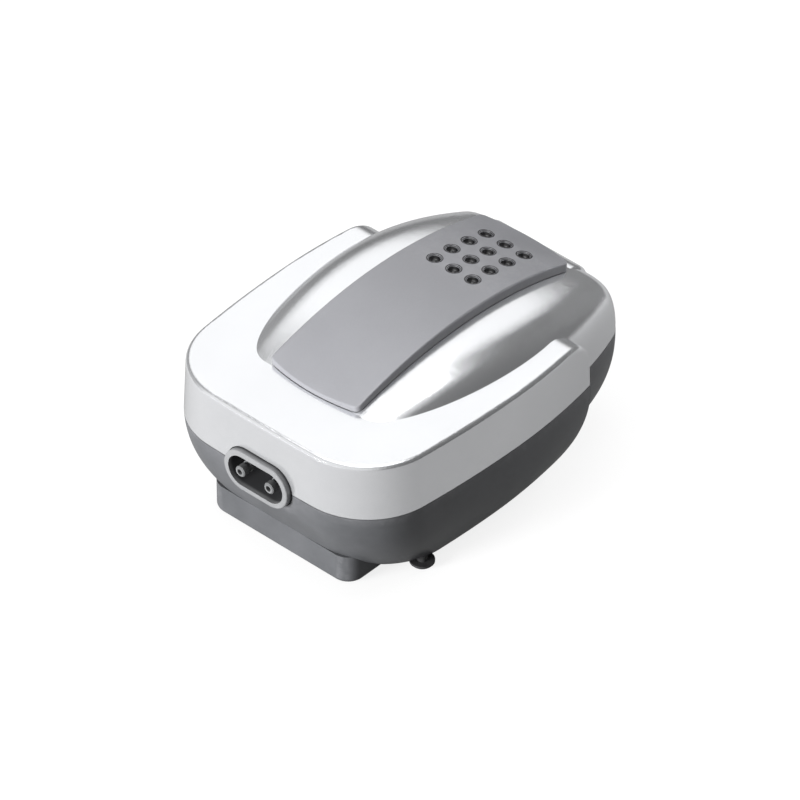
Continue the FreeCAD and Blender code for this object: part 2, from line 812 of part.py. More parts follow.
# ---------------------------------------------------------------------------------------------
# Outlet recess: a pressed-in bezel tray and two hose nozzles through its back
# ---------------------------------------------------------------------------------------------
def make_bezel():
    """Tray with a proud rim, open to the front, bored at the back for the nozzles."""
    front = -size("pod_front") - size("bezel_proud")
    rear = -size("pod_front") + size("bezel_depth")
    length = size("bezel_half_length")
    height = size("bezel_half_height")
    middle = size("outlet_height")
    rim = size("bezel_rim")
    tray = stadium(length, height, front, rear, middle)
    mouth = [edge for edge in tray.Edges if edge.BoundBox.YMax < front + NEAR]
    tray = tray.makeFillet(size("bezel_edge"), mouth)
    tray = tray.cut(stadium(length - rim, height - rim, -REACH, rear - size("bezel_back"), middle))
    for side in (-1, 1):
        bore = Part.makeCylinder(size("nozzle_stem") + size("nozzle_fit"), REACH,
                                 Vector(side * size("nozzle_offset"), -REACH / 2, middle), Y_AXIS)
        tray = tray.cut(bore)
    return tray


free_form("outlet_bezel", make_bezel())

BACK = "(-sizes.pod_front + sizes.bezel_depth)"
SHOULDER = "(%s - sizes.bezel_back)" % BACK


def make_nozzle():
    """Beaded hose nozzle, turned about its own axis and pointing forwards."""
    stem = "sizes.nozzle_stem"
    barb = "sizes.nozzle_barb"
    bore = "sizes.nozzle_bore"
    out = "sizes.nozzle_length"
    inner = "-(sizes.nozzle_inner_length + sizes.bezel_back)"
    land = "(%s - sizes.nozzle_lead - sizes.nozzle_land)" % out
    bead = "(%s - sizes.bead_gap)" % land
    corners = [
        (bore, inner), ("sizes.nozzle_tip", inner), (barb, inner + " + sizes.barb_length"),
        (stem, inner + " + sizes.barb_length"), (stem, bead + " - sizes.bead_width"),
        (barb, bead + " - sizes.bead_width"), (barb, bead), (stem, bead), (stem, land),
        (barb, land), (barb, out + " - sizes.nozzle_lead"), ("sizes.nozzle_tip", out), (bore, out),
    ]
    nozzle = turned("nozzle_turning", corners,
                    ("sizes.nozzle_offset", SHOULDER, "sizes.outlet_height"))
    nozzle.Placement = Placement(nozzle.Placement.Base, Rotation(X_AXIS, 90))
    return nozzle


both_sides("air_nozzle", make_nozzle())

# ---------------------------------------------------------------------------------------------
# Mains cord gland, feet, casing screws and intake filter
# ---------------------------------------------------------------------------------------------
gland = turned("gland_turning", [
    ("sizes.gland_bore", "0"), ("sizes.gland_radius", "0"),
    ("sizes.gland_radius", "sizes.gland_proud + sizes.gland_sink"),
    ("sizes.gland_neck", "sizes.gland_proud + sizes.gland_sink"),
    ("sizes.gland_neck", "sizes.gland_proud + sizes.gland_inner"),
    ("sizes.gland_bore", "sizes.gland_proud + sizes.gland_inner"),
], ("0", "sizes.dome_rear + sizes.gland_proud", "sizes.gland_height"))
gland.Placement = Placement(gland.Placement.Base, Rotation(X_AXIS, 90))
keep(gland, "cord_gland")

FOOT_NAMES = ("front_left", "front_right", "rear_left", "rear_right")
for name, (across, along) in zip(FOOT_NAMES, foot_places):
    end = "rear" if along > 0 else "front"
    reach = REAR_FOOT if along > 0 else FRONT_FOOT
    side = "%s%s" % ("" if across > 0 else "-", reach)
    place = "%ssizes.foot_%s" % ("" if along > 0 else "-", end)
    stem_top = "sizes.foot_height + sizes.wall + sizes.foot_stem_proud"
    foot = turned(name + "_turning", [
        ("0", "0"), ("sizes.foot_pad_radius", "0"),
        ("sizes.foot_low_radius", "sizes.foot_low_height"),
        ("sizes.foot_radius", "sizes.foot_full_height"), ("sizes.foot_radius", "sizes.foot_height"),
        ("sizes.foot_stem", "sizes.foot_height"), ("sizes.foot_stem", stem_top), ("0", stem_top),
    ], (side, place, "0"))
    keep(foot, "foot_" + name)

screws = []
for number, (across, along) in enumerate(screw_places):
    rear = along > 0
    side = "sizes.post_rear_side" if rear else "sizes.post_front_side"
    side = side if across > 0 else "-" + side
    place = "sizes.post_rear" if rear else "-sizes.post_front"
    screws.append(turned("screw_turning_%d" % number, [
        ("0", "0"), ("sizes.screw_head", "0"), ("sizes.screw_head", "sizes.screw_head_height"),
        ("sizes.screw_radius - sizes.screw_play", "sizes.screw_head_height"),
        ("sizes.screw_radius - sizes.screw_play", "sizes.screw_length"),
        ("0", "sizes.screw_length"),
    ], (side, place,
        "sizes.tub_bottom + sizes.screw_recess - sizes.screw_head_height - sizes.screw_seat")))
keep(grouped("casing_screw_set", screws), "casing_screws")

FILTER_BACK = "-sizes.filter_middle + sizes.filter_half_width - sizes.seat_gap"
FILTER_FRONT = "-sizes.filter_middle - sizes.filter_half_width + sizes.seat_gap"
FILTER_SIDE = "(sizes.filter_half_length - sizes.seat_gap)"
PAD_TOP = "(sizes.skirt_bottom + sizes.filter_depth - sizes.seat_gap)"
PAD_LOW = "(%s - sizes.filter_pad)" % PAD_TOP
keep(block("filter_felt", ("-" + FILTER_SIDE, FILTER_FRONT, PAD_LOW),
           (FILTER_SIDE, FILTER_BACK, PAD_TOP)), "intake_filter_pad")
cover_top = "(%s - sizes.seat_gap)" % PAD_LOW
cover = block("cover_slab", ("-" + FILTER_SIDE, FILTER_FRONT, cover_top + " - sizes.filter_cover"),
              (FILTER_SIDE, FILTER_BACK, cover_top))
SLOTS_A_SIDE = 3
slots = []
for order in range(-SLOTS_A_SIDE, SLOTS_A_SIDE + 1):
    slots.append(block("cover_slot_%d" % (order + SLOTS_A_SIDE),
                       ("%d * sizes.slot_pitch - sizes.slot_width / 2" % order,
                        FILTER_FRONT + " + sizes.slot_pitch / 2", "-sizes.wall"),
                       ("%d * sizes.slot_pitch + sizes.slot_width / 2" % order,
                        FILTER_BACK + " - sizes.slot_pitch / 2", cover_top + " + sizes.wall")))
keep(less("cover_slotted", cover, joined("cover_slots", slots)), "filter_cover")

# ---------------------------------------------------------------------------------------------
# Electromagnet: laminated core lying across the pump, bobbin, winding and steel cradle
# ---------------------------------------------------------------------------------------------
LIMB = "sizes.limb_width / 2"
SHOE = "sizes.shoe_width / 2"
SHOE_IN = "(%s - sizes.shoe_thickness)" % CORE_END
core = padded("core_stack_of_laminations", [
    ("-" + CORE_END, "-" + SHOE), ("-" + SHOE_IN, "-" + SHOE), ("-" + SHOE_IN, "-" + LIMB),
    (SHOE_IN, "-" + LIMB), (SHOE_IN, "-" + SHOE), (CORE_END, "-" + SHOE), (CORE_END, SHOE),
    (SHOE_IN, SHOE), (SHOE_IN, LIMB), ("-" + SHOE_IN, LIMB), ("-" + SHOE_IN, SHOE),
    ("-" + CORE_END, SHOE),
], "sizes.core_stack", ("0", "sizes.magnet_middle", "sizes.magnet_height"))
keep(core, "laminated_core")


def around_limb(name, reach, side, tall):
    """Block centred on the core's middle, with half sizes along X, Y and Z."""
    return block(name, ("-(%s)" % reach, "sizes.magnet_middle - (%s)" % side,
                        "sizes.magnet_height - (%s)" % tall),
                 (reach, "sizes.magnet_middle + (%s)" % side, "sizes.magnet_height + (%s)" % tall))


HOLE_SIDE = "sizes.limb_width / 2 + sizes.seat_gap"
HOLE_TALL = "sizes.core_stack / 2 + sizes.seat_gap"
TUBE_SIDE = HOLE_SIDE + " + sizes.bobbin_wall"
TUBE_TALL = HOLE_TALL + " + sizes.bobbin_wall"
FLANGE_IN = "%s - sizes.flange_thickness" % BOBBIN_END
FLANGE_HALF = "sizes.flange_size / 2"
spool = joined("spool", [
    around_limb("spool_tube", BOBBIN_END, TUBE_SIDE, TUBE_TALL),
    less("spool_flanges",
         around_limb("flange_block", BOBBIN_END, FLANGE_HALF, FLANGE_HALF),
         around_limb("flange_space", FLANGE_IN, "sizes.flange_size", "sizes.flange_size")),
])
keep(less("bobbin_moulding", spool, around_limb("spool_hole", CORE_END, HOLE_SIDE,
                                                HOLE_TALL)), "bobbin")
WOUND = FLANGE_IN + " - sizes.seat_gap"
wound_side = TUBE_SIDE + " + sizes.coil_build"
wound_tall = TUBE_TALL + " + sizes.coil_tall"
winding = less("winding_ring", around_limb("winding_block", WOUND, wound_side, wound_tall),
               around_limb("winding_hole", CORE_END, TUBE_SIDE + " + sizes.winding_fit",
                           TUBE_TALL + " + sizes.winding_fit"))
keep(winding, "coil_winding")

CRADLE = "sizes.cradle_height"
cradle_plate = block("cradle_plate", ("-%s + sizes.cradle_rail" % CORE_END,
                                      "sizes.magnet_middle - sizes.shoe_width / 2", CRADLE),
                     (CORE_END + " - sizes.cradle_rail",
                      "sizes.magnet_middle + sizes.shoe_width / 2",
                      CRADLE + " + sizes.cradle_floor"))
rails = []
for name, side in (("left", "-"), ("right", "")):
    near = side + "(%s - sizes.cradle_rail)" % CORE_END
    far = side + CORE_END
    low_x, high_x = (far, near) if side else (near, far)
    rails.append(block(name + "_cradle_rail",
                       (low_x, "sizes.magnet_middle - sizes.shoe_width / 2", CRADLE),
                       (high_x, "sizes.magnet_middle + sizes.shoe_width / 2",
                        "sizes.magnet_height - sizes.core_stack / 2 - sizes.seat_gap")))
keep(joined("cradle", [cradle_plate] + rails), "core_cradle")

# ---------------------------------------------------------------------------------------------
# Right-hand lever, its hinge, diaphragm and valve box, each copied across to the left
# ---------------------------------------------------------------------------------------------
FACE = "(%s + sizes.air_gap)" % CORE_END
ARM_IN = "(%s + sizes.magnet_thickness)" % FACE
ARM_OUT = "(%s + sizes.lever_thickness)" % ARM_IN
HINGE_X = "(%s + sizes.lever_thickness / 2)" % ARM_IN
ARM_LOW = "(sizes.magnet_height - sizes.lever_tall / 2)"
ARM_TOP = "(sizes.magnet_height + sizes.lever_tall / 2)"
HINGE_Y = "-sizes.hinge_back"
BUTTON_Y = "sizes.button_offset"

magnet = block("magnet_block", (FACE, "sizes.magnet_middle - sizes.magnet_length / 2",
                                "sizes.magnet_height - sizes.magnet_tall / 2"),
               (FACE + " + sizes.magnet_thickness",
                "sizes.magnet_middle + sizes.magnet_length / 2",
                "sizes.magnet_height + sizes.magnet_tall / 2"))
both_sides("drive_magnet", magnet)

arm = block("lever_arm", (ARM_IN, HINGE_Y, ARM_LOW), (ARM_OUT, "sizes.lever_rear", ARM_TOP))
barrel = rod("lever_barrel", "sizes.hinge_radius", "sizes.lever_tall", (HINGE_X, HINGE_Y, ARM_LOW))
stiffener = block("lever_rib", (ARM_OUT, HINGE_Y, "sizes.magnet_height - sizes.lever_rib / 2"),
                  (ARM_OUT + " + sizes.lever_rib", BUTTON_Y + " - sizes.button_radius",
                   "sizes.magnet_height + sizes.lever_rib / 2"))
boss = rod("lever_boss", "sizes.boss_radius", "sizes.button_boss",
           (ARM_OUT, BUTTON_Y, "sizes.magnet_height"))
boss.Placement = Placement(boss.Placement.Base, Rotation(Y_AXIS, 90))
lever = less("lever_bored", joined("lever_blank", [arm, barrel, stiffener, boss]),
             rod("lever_bore", "sizes.pin_radius + sizes.pin_fit", "3 * sizes.lever_tall",
                 (HINGE_X, HINGE_Y, "sizes.magnet_height - 1.5 * sizes.lever_tall")))
both_sides("lever", lever)

BOSS_END = "(%s + sizes.button_boss)" % ARM_OUT
button = rod("button_disc", "sizes.button_radius", "sizes.button_length",
             (BOSS_END + " + sizes.seat_gap", BUTTON_Y, "sizes.magnet_height"))
button.Placement = Placement(button.Placement.Base, Rotation(Y_AXIS, 90))
both_sides("diaphragm_button", button)

EAR_LOW = "(%s - sizes.ear_gap - sizes.ear_thickness)" % ARM_LOW
EAR_TOP = "(%s + sizes.ear_gap + sizes.ear_thickness)" % ARM_TOP
EAR_IN = "(%s - sizes.hinge_radius)" % HINGE_X
EAR_OUT = "(%s + sizes.hinge_radius)" % HINGE_X
POST_BACK = "(-sizes.hinge_back - sizes.hinge_radius - sizes.hinge_room)"
column = block("hinge_column", (EAR_IN, POST_BACK + " - sizes.ear_thickness",
                                "sizes.tub_bottom + sizes.wall + sizes.seat_gap"),
               (EAR_OUT, POST_BACK, EAR_TOP))
ears = []
for name, low, high in (("low", EAR_LOW, EAR_LOW + " + sizes.ear_thickness"),
                        ("top", EAR_TOP + " - sizes.ear_thickness", EAR_TOP)):
    ears.append(block("hinge_ear_" + name, (EAR_IN, POST_BACK, low),
                      (EAR_OUT, "-sizes.hinge_back + sizes.hinge_radius", high)))
bracket = less("hinge_bored", joined("hinge_blank", [column] + ears),
               rod("hinge_bore", "sizes.pin_radius + sizes.pin_fit", "3 * sizes.lever_tall",
                   (HINGE_X, HINGE_Y, "sizes.magnet_height - 1.5 * sizes.lever_tall")))
both_sides("hinge_bracket", bracket)
pin = rod("hinge_pin_rod", "sizes.pin_radius", "%s - %s" % (EAR_TOP, EAR_LOW),
          (HINGE_X, HINGE_Y, EAR_LOW))
both_sides("hinge_pin", pin)

# The diaphragm faces the button across its stroke, and its rim is clamped to the valve body.
WEB_X = "(%s + sizes.seat_gap + sizes.button_length + sizes.stroke_room)" % BOSS_END
RIM_X = "(%s - sizes.diaphragm_rim)" % WEB_X
AXIS = (BUTTON_Y, "sizes.magnet_height")


def turned_outwards(name, corners, start):
    """A revolved piece whose axis points outwards along +X from a starting place."""
    piece = turned(name, corners, (start,) + AXIS)
    piece.Placement = Placement(piece.Placement.Base, Rotation(Y_AXIS, 90))
    return piece


diaphragm = turned_outwards("diaphragm_turning", [
    ("0", "sizes.diaphragm_rim"), ("sizes.diaphragm_lip", "sizes.diaphragm_rim"),
    ("sizes.diaphragm_lip", "0"), ("sizes.diaphragm_radius", "0"),
    ("sizes.diaphragm_radius", "sizes.diaphragm_rim"), ("sizes.web_radius", "sizes.diaphragm_rim"),
    ("sizes.web_radius", "sizes.diaphragm_rim + sizes.diaphragm_web"),
    ("0", "sizes.diaphragm_rim + sizes.diaphragm_web"),
], RIM_X)
both_sides("diaphragm", diaphragm)

clamp = turned_outwards("clamp_turning", [
    ("sizes.diaphragm_lip", "0"), ("sizes.diaphragm_radius", "0"),
    ("sizes.diaphragm_radius", "sizes.clamp_ring"), ("sizes.diaphragm_lip", "sizes.clamp_ring"),
], "(%s - sizes.seat_gap - sizes.clamp_ring)" % RIM_X)
both_sides("diaphragm_clamp", clamp)

VALVE_IN = "(%s + sizes.seat_gap)" % WEB_X
VALVE_OUT = "(%s + sizes.valve_thickness)" % VALVE_IN
PORT_X = "(%s - sizes.port_depth)" % VALVE_OUT
VALVE_FRONT = "(sizes.button_offset - sizes.valve_half_length)"


def beside_axis(name, inner, outer, side, low, high):
    """Block between two places along X, evenly about the diaphragm's axis along Y."""
    return block(name, (inner, "sizes.button_offset - (%s)" % side,
                        "sizes.magnet_height + (%s)" % low),
                 (outer, "sizes.button_offset + (%s)" % side,
                  "sizes.magnet_height + (%s)" % high))


def outward_rod(name, radius, start, length, offset):
    """Cylinder pointing outwards beside the diaphragm's axis, raised by an offset."""
    item = rod(name, radius, length, (start, BUTTON_Y, "sizes.magnet_height + (%s)" % offset))
    item.Placement = Placement(item.Placement.Base, Rotation(Y_AXIS, 90))
    return item


HALF_TALL = "sizes.valve_half_tall"
HALF_LONG = "sizes.valve_half_length"
valve_solids = [beside_axis("valve_block", VALVE_IN, VALVE_OUT, HALF_LONG, "-" + HALF_TALL, HALF_TALL)]
for name, along in (("front", "-"), ("back", "")):
    edge = "sizes.button_offset %s sizes.valve_half_length" % ("-" if along else "+")
    inward = "%s %s sizes.leg_width" % (edge, "+" if along else "-")
    low_y, high_y = (edge, inward) if along else (inward, edge)
    valve_solids.append(block("valve_leg_" + name,
                              (VALVE_IN, low_y, "sizes.tub_bottom + sizes.wall + sizes.seat_gap"),
                              (VALVE_IN + " + sizes.leg_thickness", high_y,
                               "sizes.magnet_height - sizes.valve_half_tall")))
nipple = rod("valve_nipple", "sizes.nozzle_barb", "sizes.nipple_length + sizes.valve_wall",
             ("(%s - sizes.nipple_inset)" % VALVE_OUT, VALVE_FRONT + " + sizes.valve_wall",
              "sizes.outlet_height"))
nipple.Placement = Placement(nipple.Placement.Base, Rotation(X_AXIS, 90))
valve_solids.append(nipple)
hollows = [outward_rod("pump_chamber", "sizes.web_radius + sizes.seat_gap", VALVE_IN,
                       "sizes.chamber_depth", "0")]
for name, low, high, offset in (
        ("inlet", "-%s + sizes.valve_wall" % HALF_TALL, "-sizes.valve_wall / 2",
         "-sizes.flap_offset"),
        ("outlet", "sizes.valve_wall / 2", "%s - sizes.valve_wall" % HALF_TALL,
         "sizes.flap_offset")):
    hollows.append(beside_axis(name + "_space", PORT_X, VALVE_OUT + " + sizes.valve_wall",
                               HALF_LONG + " - sizes.valve_wall", low, high))
    hollows.append(outward_rod(name + "_port", "sizes.port_radius", VALVE_IN,
                               "sizes.valve_thickness", offset))
nipple_bore = rod("nipple_bore", "sizes.nozzle_bore", "sizes.nipple_length + 3 * sizes.valve_wall",
                  ("(%s - sizes.nipple_inset)" % VALVE_OUT,
                   VALVE_FRONT + " + 2 * sizes.valve_wall", "sizes.outlet_height"))
nipple_bore.Placement = Placement(nipple_bore.Placement.Base, Rotation(X_AXIS, 90))
hollows.append(nipple_bore)
both_sides("valve_body", less("valve_moulding", joined("valve_blank", valve_solids),
                              joined("valve_hollows", hollows)))

flaps = []
for name, offset in (("inlet", "-sizes.flap_offset"), ("outlet", "sizes.flap_offset")):
    flaps.append(outward_rod(name + "_flap", "sizes.flap_radius", PORT_X + " + sizes.flap_seat",
                             "sizes.flap_thickness", offset))
both_sides("valve_flaps", grouped("flap_pair", flaps))

GASKET_X = "(%s + sizes.flap_seat)" % VALVE_OUT
gasket = less("gasket_frame",
              beside_axis("gasket_sheet", GASKET_X, GASKET_X + " + sizes.gasket", HALF_LONG,
                          "-" + HALF_TALL, HALF_TALL),
              beside_axis("gasket_window", GASKET_X + " - sizes.gasket",
                          GASKET_X + " + 2 * sizes.gasket",
                          HALF_LONG + " - sizes.valve_wall", "-%s + sizes.valve_wall" % HALF_TALL,
                          HALF_TALL + " - sizes.valve_wall"))
both_sides("valve_gasket", gasket)
COVER_X = "(%s + sizes.gasket + sizes.flap_seat)" % GASKET_X
cover_sheet = beside_axis("valve_cover_sheet", COVER_X, COVER_X + " + sizes.valve_cover",
                          HALF_LONG, "-" + HALF_TALL, HALF_TALL)
air_inlet = outward_rod("cover_inlet", "sizes.port_radius", COVER_X + " - sizes.valve_cover",
                        "3 * sizes.valve_cover", "-sizes.flap_offset")
both_sides("valve_cover", less("valve_cover_plate", cover_sheet, air_inlet))


def hose_tube(radius, overrun):
    """Tube from the valve body's nipple round two bends to a nozzle's inner end."""
    across = worked("%s - sizes.nipple_inset" % VALVE_OUT)
    start = worked(VALVE_FRONT) - size("seat_gap") + overrun
    middle = -size("hose_back")
    end = worked(BACK) + size("seat_gap") - overrun
    level = size("outlet_height")
    bend = size("hose_bend")
    near = size("nozzle_offset")
    dip = bend * BEND_SHARE
    first = Vector(across, start, level)
    turn_in = Vector(across, middle + bend, level)
    turn_mid = Vector(across - dip, middle + dip, level)
    turn_out = Vector(across - bend, middle, level)
    back_in = Vector(near + bend, middle, level)
    back_mid = Vector(near + dip, middle - dip, level)
    back_out = Vector(near, middle - bend, level)
    last = Vector(near, end, level)
    path = Part.Wire([
        Part.LineSegment(first, turn_in).toShape(),
        Part.Arc(turn_in, turn_mid, turn_out).toShape(),
        Part.LineSegment(turn_out, back_in).toShape(),
        Part.Arc(back_in, back_mid, back_out).toShape(),
        Part.LineSegment(back_out, last).toShape(),
    ])
    ring = Part.Wire([Part.makeCircle(radius, first, Y_AXIS)])
    return path.makePipeShell([ring], True, False)


hose = doc.addObject("Part::Feature", "hose_tube")
hose.Shape = hose_tube(size("hose_radius"), 0).cut(hose_tube(size("hose_bore"), wall))
both_sides("air_hose", hose)


# ---------------------------------------------------------------------------------------------
# Check every object and write the pieces
# ---------------------------------------------------------------------------------------------
doc.recompute()
for item in doc.Objects:
    if "Invalid" in item.State or "Error" in item.State:
        raise RuntimeError("%s failed: %s" % (item.Name, item.State))
for item in nodes:
    if item.Shape.isNull() or not item.Shape.isValid():
        raise RuntimeError("%s has no valid shape" % item.Label)
os.makedirs(OUT, exist_ok=True)
for item in nodes:
    item.Shape.exportStep("%s/%s.step" % (OUT, item.Label))
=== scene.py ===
"""Aquarium air pump: a diaphragm pump in a glossy silver and dark grey moulded casing."""
import math

import bmesh
import bpy
from mathutils import Matrix, Vector


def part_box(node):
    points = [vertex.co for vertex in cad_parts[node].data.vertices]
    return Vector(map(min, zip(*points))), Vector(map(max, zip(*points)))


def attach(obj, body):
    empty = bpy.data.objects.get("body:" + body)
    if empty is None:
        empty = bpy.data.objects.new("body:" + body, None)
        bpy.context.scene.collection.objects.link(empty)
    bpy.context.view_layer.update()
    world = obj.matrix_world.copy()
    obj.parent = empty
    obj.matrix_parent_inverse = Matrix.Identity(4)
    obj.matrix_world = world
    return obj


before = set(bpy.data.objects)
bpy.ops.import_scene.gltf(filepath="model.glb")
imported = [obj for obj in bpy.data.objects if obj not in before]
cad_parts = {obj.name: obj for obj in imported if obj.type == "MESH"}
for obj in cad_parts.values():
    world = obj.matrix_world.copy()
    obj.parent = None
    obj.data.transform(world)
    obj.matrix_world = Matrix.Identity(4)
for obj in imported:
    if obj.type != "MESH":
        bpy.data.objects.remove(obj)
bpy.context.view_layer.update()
scene = bpy.context.scene
scene.view_settings.view_transform = "Standard"

# ---------------------------------------------------------------- Camera
# A long lens stands well back, above the front right corner, so the pump
# shows its deck, its front with the outlets, and its right side.
AIM = Vector((0.02963, -0.03376, 0.066))
AZIMUTH = math.radians(42.464)
ELEVATION = math.radians(39.333)
STAND_OFF = 3.0159
FOCAL_LENGTH = 380.0
SENSOR_WIDTH = 36.0
NEAREST, FARTHEST = 0.1, 20.0
back = Vector((
    math.sin(AZIMUTH) * math.cos(ELEVATION),
    -math.cos(AZIMUTH) * math.cos(ELEVATION),
    math.sin(ELEVATION),
))
camera_data = bpy.data.cameras.new("camera")
camera_data.sensor_width = SENSOR_WIDTH
camera_data.lens = FOCAL_LENGTH
camera_data.clip_start = NEAREST
camera_data.clip_end = FARTHEST
camera = bpy.data.objects.new("camera", camera_data)
scene.collection.objects.link(camera)
camera.location = AIM + back * STAND_OFF
camera.rotation_mode = "QUATERNION"
camera.rotation_quaternion = back.to_track_quat("Z", "Y")
scene.camera = camera


# ---------------------------------------------------------------- Upper casing
# One injection moulding in ABS, sprayed with a metallic silver base coat
# and a clear lacquer. Screws from below pull it down on the dark tub.
def add_group(name, inputs, outputs):
    """An empty shader node group with named inputs and outputs, and its two end nodes."""
    tree = bpy.data.node_groups.new(name, "ShaderNodeTree")
    for label, kind, value in inputs:
        socket = tree.interface.new_socket(
            name=label, in_out="INPUT", socket_type="NodeSocket" + kind)
        socket.default_value = value
    for label, kind in outputs:
        tree.interface.new_socket(name=label, in_out="OUTPUT", socket_type="NodeSocket" + kind)
    return tree, tree.nodes.new("NodeGroupInput"), tree.nodes.new("NodeGroupOutput")


def add_noise(tree, place, scale, detail, roughness=0.55):
    """A noise mask in the object's own space, whose scale comes from a socket."""
    grain = tree.nodes.new("ShaderNodeTexNoise")
    grain.inputs["Detail"].default_value = detail
    grain.inputs["Roughness"].default_value = roughness
    tree.links.new(place, grain.inputs["Vector"])
    tree.links.new(scale, grain.inputs["Scale"])
    return grain.outputs["Fac"]


# The Mix node's sockets by number, for its colours and for its plain values.
COLOUR_A, COLOUR_B, MIXED_COLOUR = 6, 7, 2
VALUE_A, VALUE_B, MIXED_VALUE = 2, 3, 0


def add_mix(tree, mask, first, second):
    """Colour first where the mask is 0 and colour second where it is 1."""
    blend = tree.nodes.new("ShaderNodeMix")
    blend.data_type = "RGBA"
    tree.links.new(mask, blend.inputs["Factor"])
    tree.links.new(first, blend.inputs[COLOUR_A])
    tree.links.new(second, blend.inputs[COLOUR_B])
    return blend.outputs[MIXED_COLOUR]


def add_range(tree, value, low, high, out_low, out_high):
    """A value remapped from low..high to out_low..out_high, whose ends may be sockets."""
    ranged = tree.nodes.new("ShaderNodeMapRange")
    tree.links.new(value, ranged.inputs["Value"])
    ends = {"From Min": low, "From Max": high, "To Min": out_low, "To Max": out_high}
    for label, end in ends.items():
        if isinstance(end, bpy.types.NodeSocket):
            tree.links.new(end, ranged.inputs[label])
        else:
            ranged.inputs[label].default_value = end
    return ranged.outputs["Result"]


# Moulded or sprayed skin: cloudy tone, varying gloss and a fine surface grain.
# The noise hardly leaves these spans, so each is stretched to a full mask.
TONE_SPAN = (0.35, 0.65)
GLOSS_SPAN = (0.3, 0.7)
CLOUD_DETAIL = 4.0
FINE_DETAIL = 2.0
skin_group, skin_in, skin_out = add_group("moulded_skin", [
    ("Tone A", "Color", (0.5, 0.5, 0.5, 1.0)), ("Tone B", "Color", (0.6, 0.6, 0.6, 1.0)),
    ("Cloud Scale", "Float", 60.0), ("Gloss Low", "Float", 0.3), ("Gloss High", "Float", 0.4),
    ("Grain Scale", "Float", 1800.0), ("Grain Height", "Float", 0.00002),
    ("Fleck Scale", "Float", 5000.0), ("Fleck", "Float", 0.0),
], [("Color", "Color"), ("Roughness", "Float"), ("Normal", "Vector")])
object_space = skin_group.nodes.new("ShaderNodeTexCoord").outputs["Object"]
cloud = add_noise(skin_group, object_space, skin_in.outputs["Cloud Scale"], CLOUD_DETAIL)
fleck = add_noise(skin_group, object_space, skin_in.outputs["Fleck Scale"], FINE_DETAIL)
grain = add_noise(skin_group, object_space, skin_in.outputs["Grain Scale"], FINE_DETAIL)
fleck_share = skin_group.nodes.new("ShaderNodeMix")
skin_group.links.new(skin_in.outputs["Fleck"], fleck_share.inputs["Factor"])
skin_group.links.new(cloud, fleck_share.inputs[VALUE_A])
skin_group.links.new(fleck, fleck_share.inputs[VALUE_B])
tone = add_range(skin_group, fleck_share.outputs[MIXED_VALUE], *TONE_SPAN, 0.0, 1.0)
skin_group.links.new(
    add_mix(skin_group, tone, skin_in.outputs["Tone A"], skin_in.outputs["Tone B"]),
    skin_out.inputs["Color"])
skin_group.links.new(
    add_range(skin_group, cloud, *GLOSS_SPAN,
              skin_in.outputs["Gloss Low"], skin_in.outputs["Gloss High"]),
    skin_out.inputs["Roughness"])
relief = skin_group.nodes.new("ShaderNodeBump")
skin_group.links.new(grain, relief.inputs["Height"])
skin_group.links.new(skin_in.outputs["Grain Height"], relief.inputs["Distance"])
skin_group.links.new(relief.outputs["Normal"], skin_out.inputs["Normal"])

# Handling wear along the convex edges, broken up by scuffs.
CONVEX_SPAN = (0.51, 0.60)
SCUFF_SPAN = (0.4, 0.65)
LEAST_SCUFF = 0.2
SCUFF_DETAIL, SCUFF_ROUGHNESS = 5.0, 0.7
wear_group, wear_in, wear_out = add_group("edge_wear", [
    ("Amount", "Float", 0.5), ("Scuff Scale", "Float", 300.0),
    ("Fresh", "Color", (0.5, 0.5, 0.5, 1.0)), ("Worn", "Color", (0.7, 0.7, 0.7, 1.0)),
], [("Color", "Color")])
shape_facts = wear_group.nodes.new("ShaderNodeNewGeometry")
scuffs = add_noise(wear_group, wear_group.nodes.new("ShaderNodeTexCoord").outputs["Object"],
                   wear_in.outputs["Scuff Scale"], SCUFF_DETAIL, SCUFF_ROUGHNESS)
scuffed = add_range(wear_group, scuffs, *SCUFF_SPAN, LEAST_SCUFF, 1.0)
convex = add_range(wear_group, shape_facts.outputs["Pointiness"], *CONVEX_SPAN, 0.0, 1.0)
broken = wear_group.nodes.new("ShaderNodeMath")
broken.operation = "MULTIPLY"
wear_group.links.new(convex, broken.inputs[0])
wear_group.links.new(scuffed, broken.inputs[1])
amount = wear_group.nodes.new("ShaderNodeMath")
amount.operation = "MULTIPLY"
wear_group.links.new(broken.outputs["Value"], amount.inputs[0])
wear_group.links.new(wear_in.outputs["Amount"], amount.inputs[1])
wear_group.links.new(
    add_mix(wear_group, amount.outputs["Value"],
            wear_in.outputs["Fresh"], wear_in.outputs["Worn"]),
    wear_out.inputs["Color"])


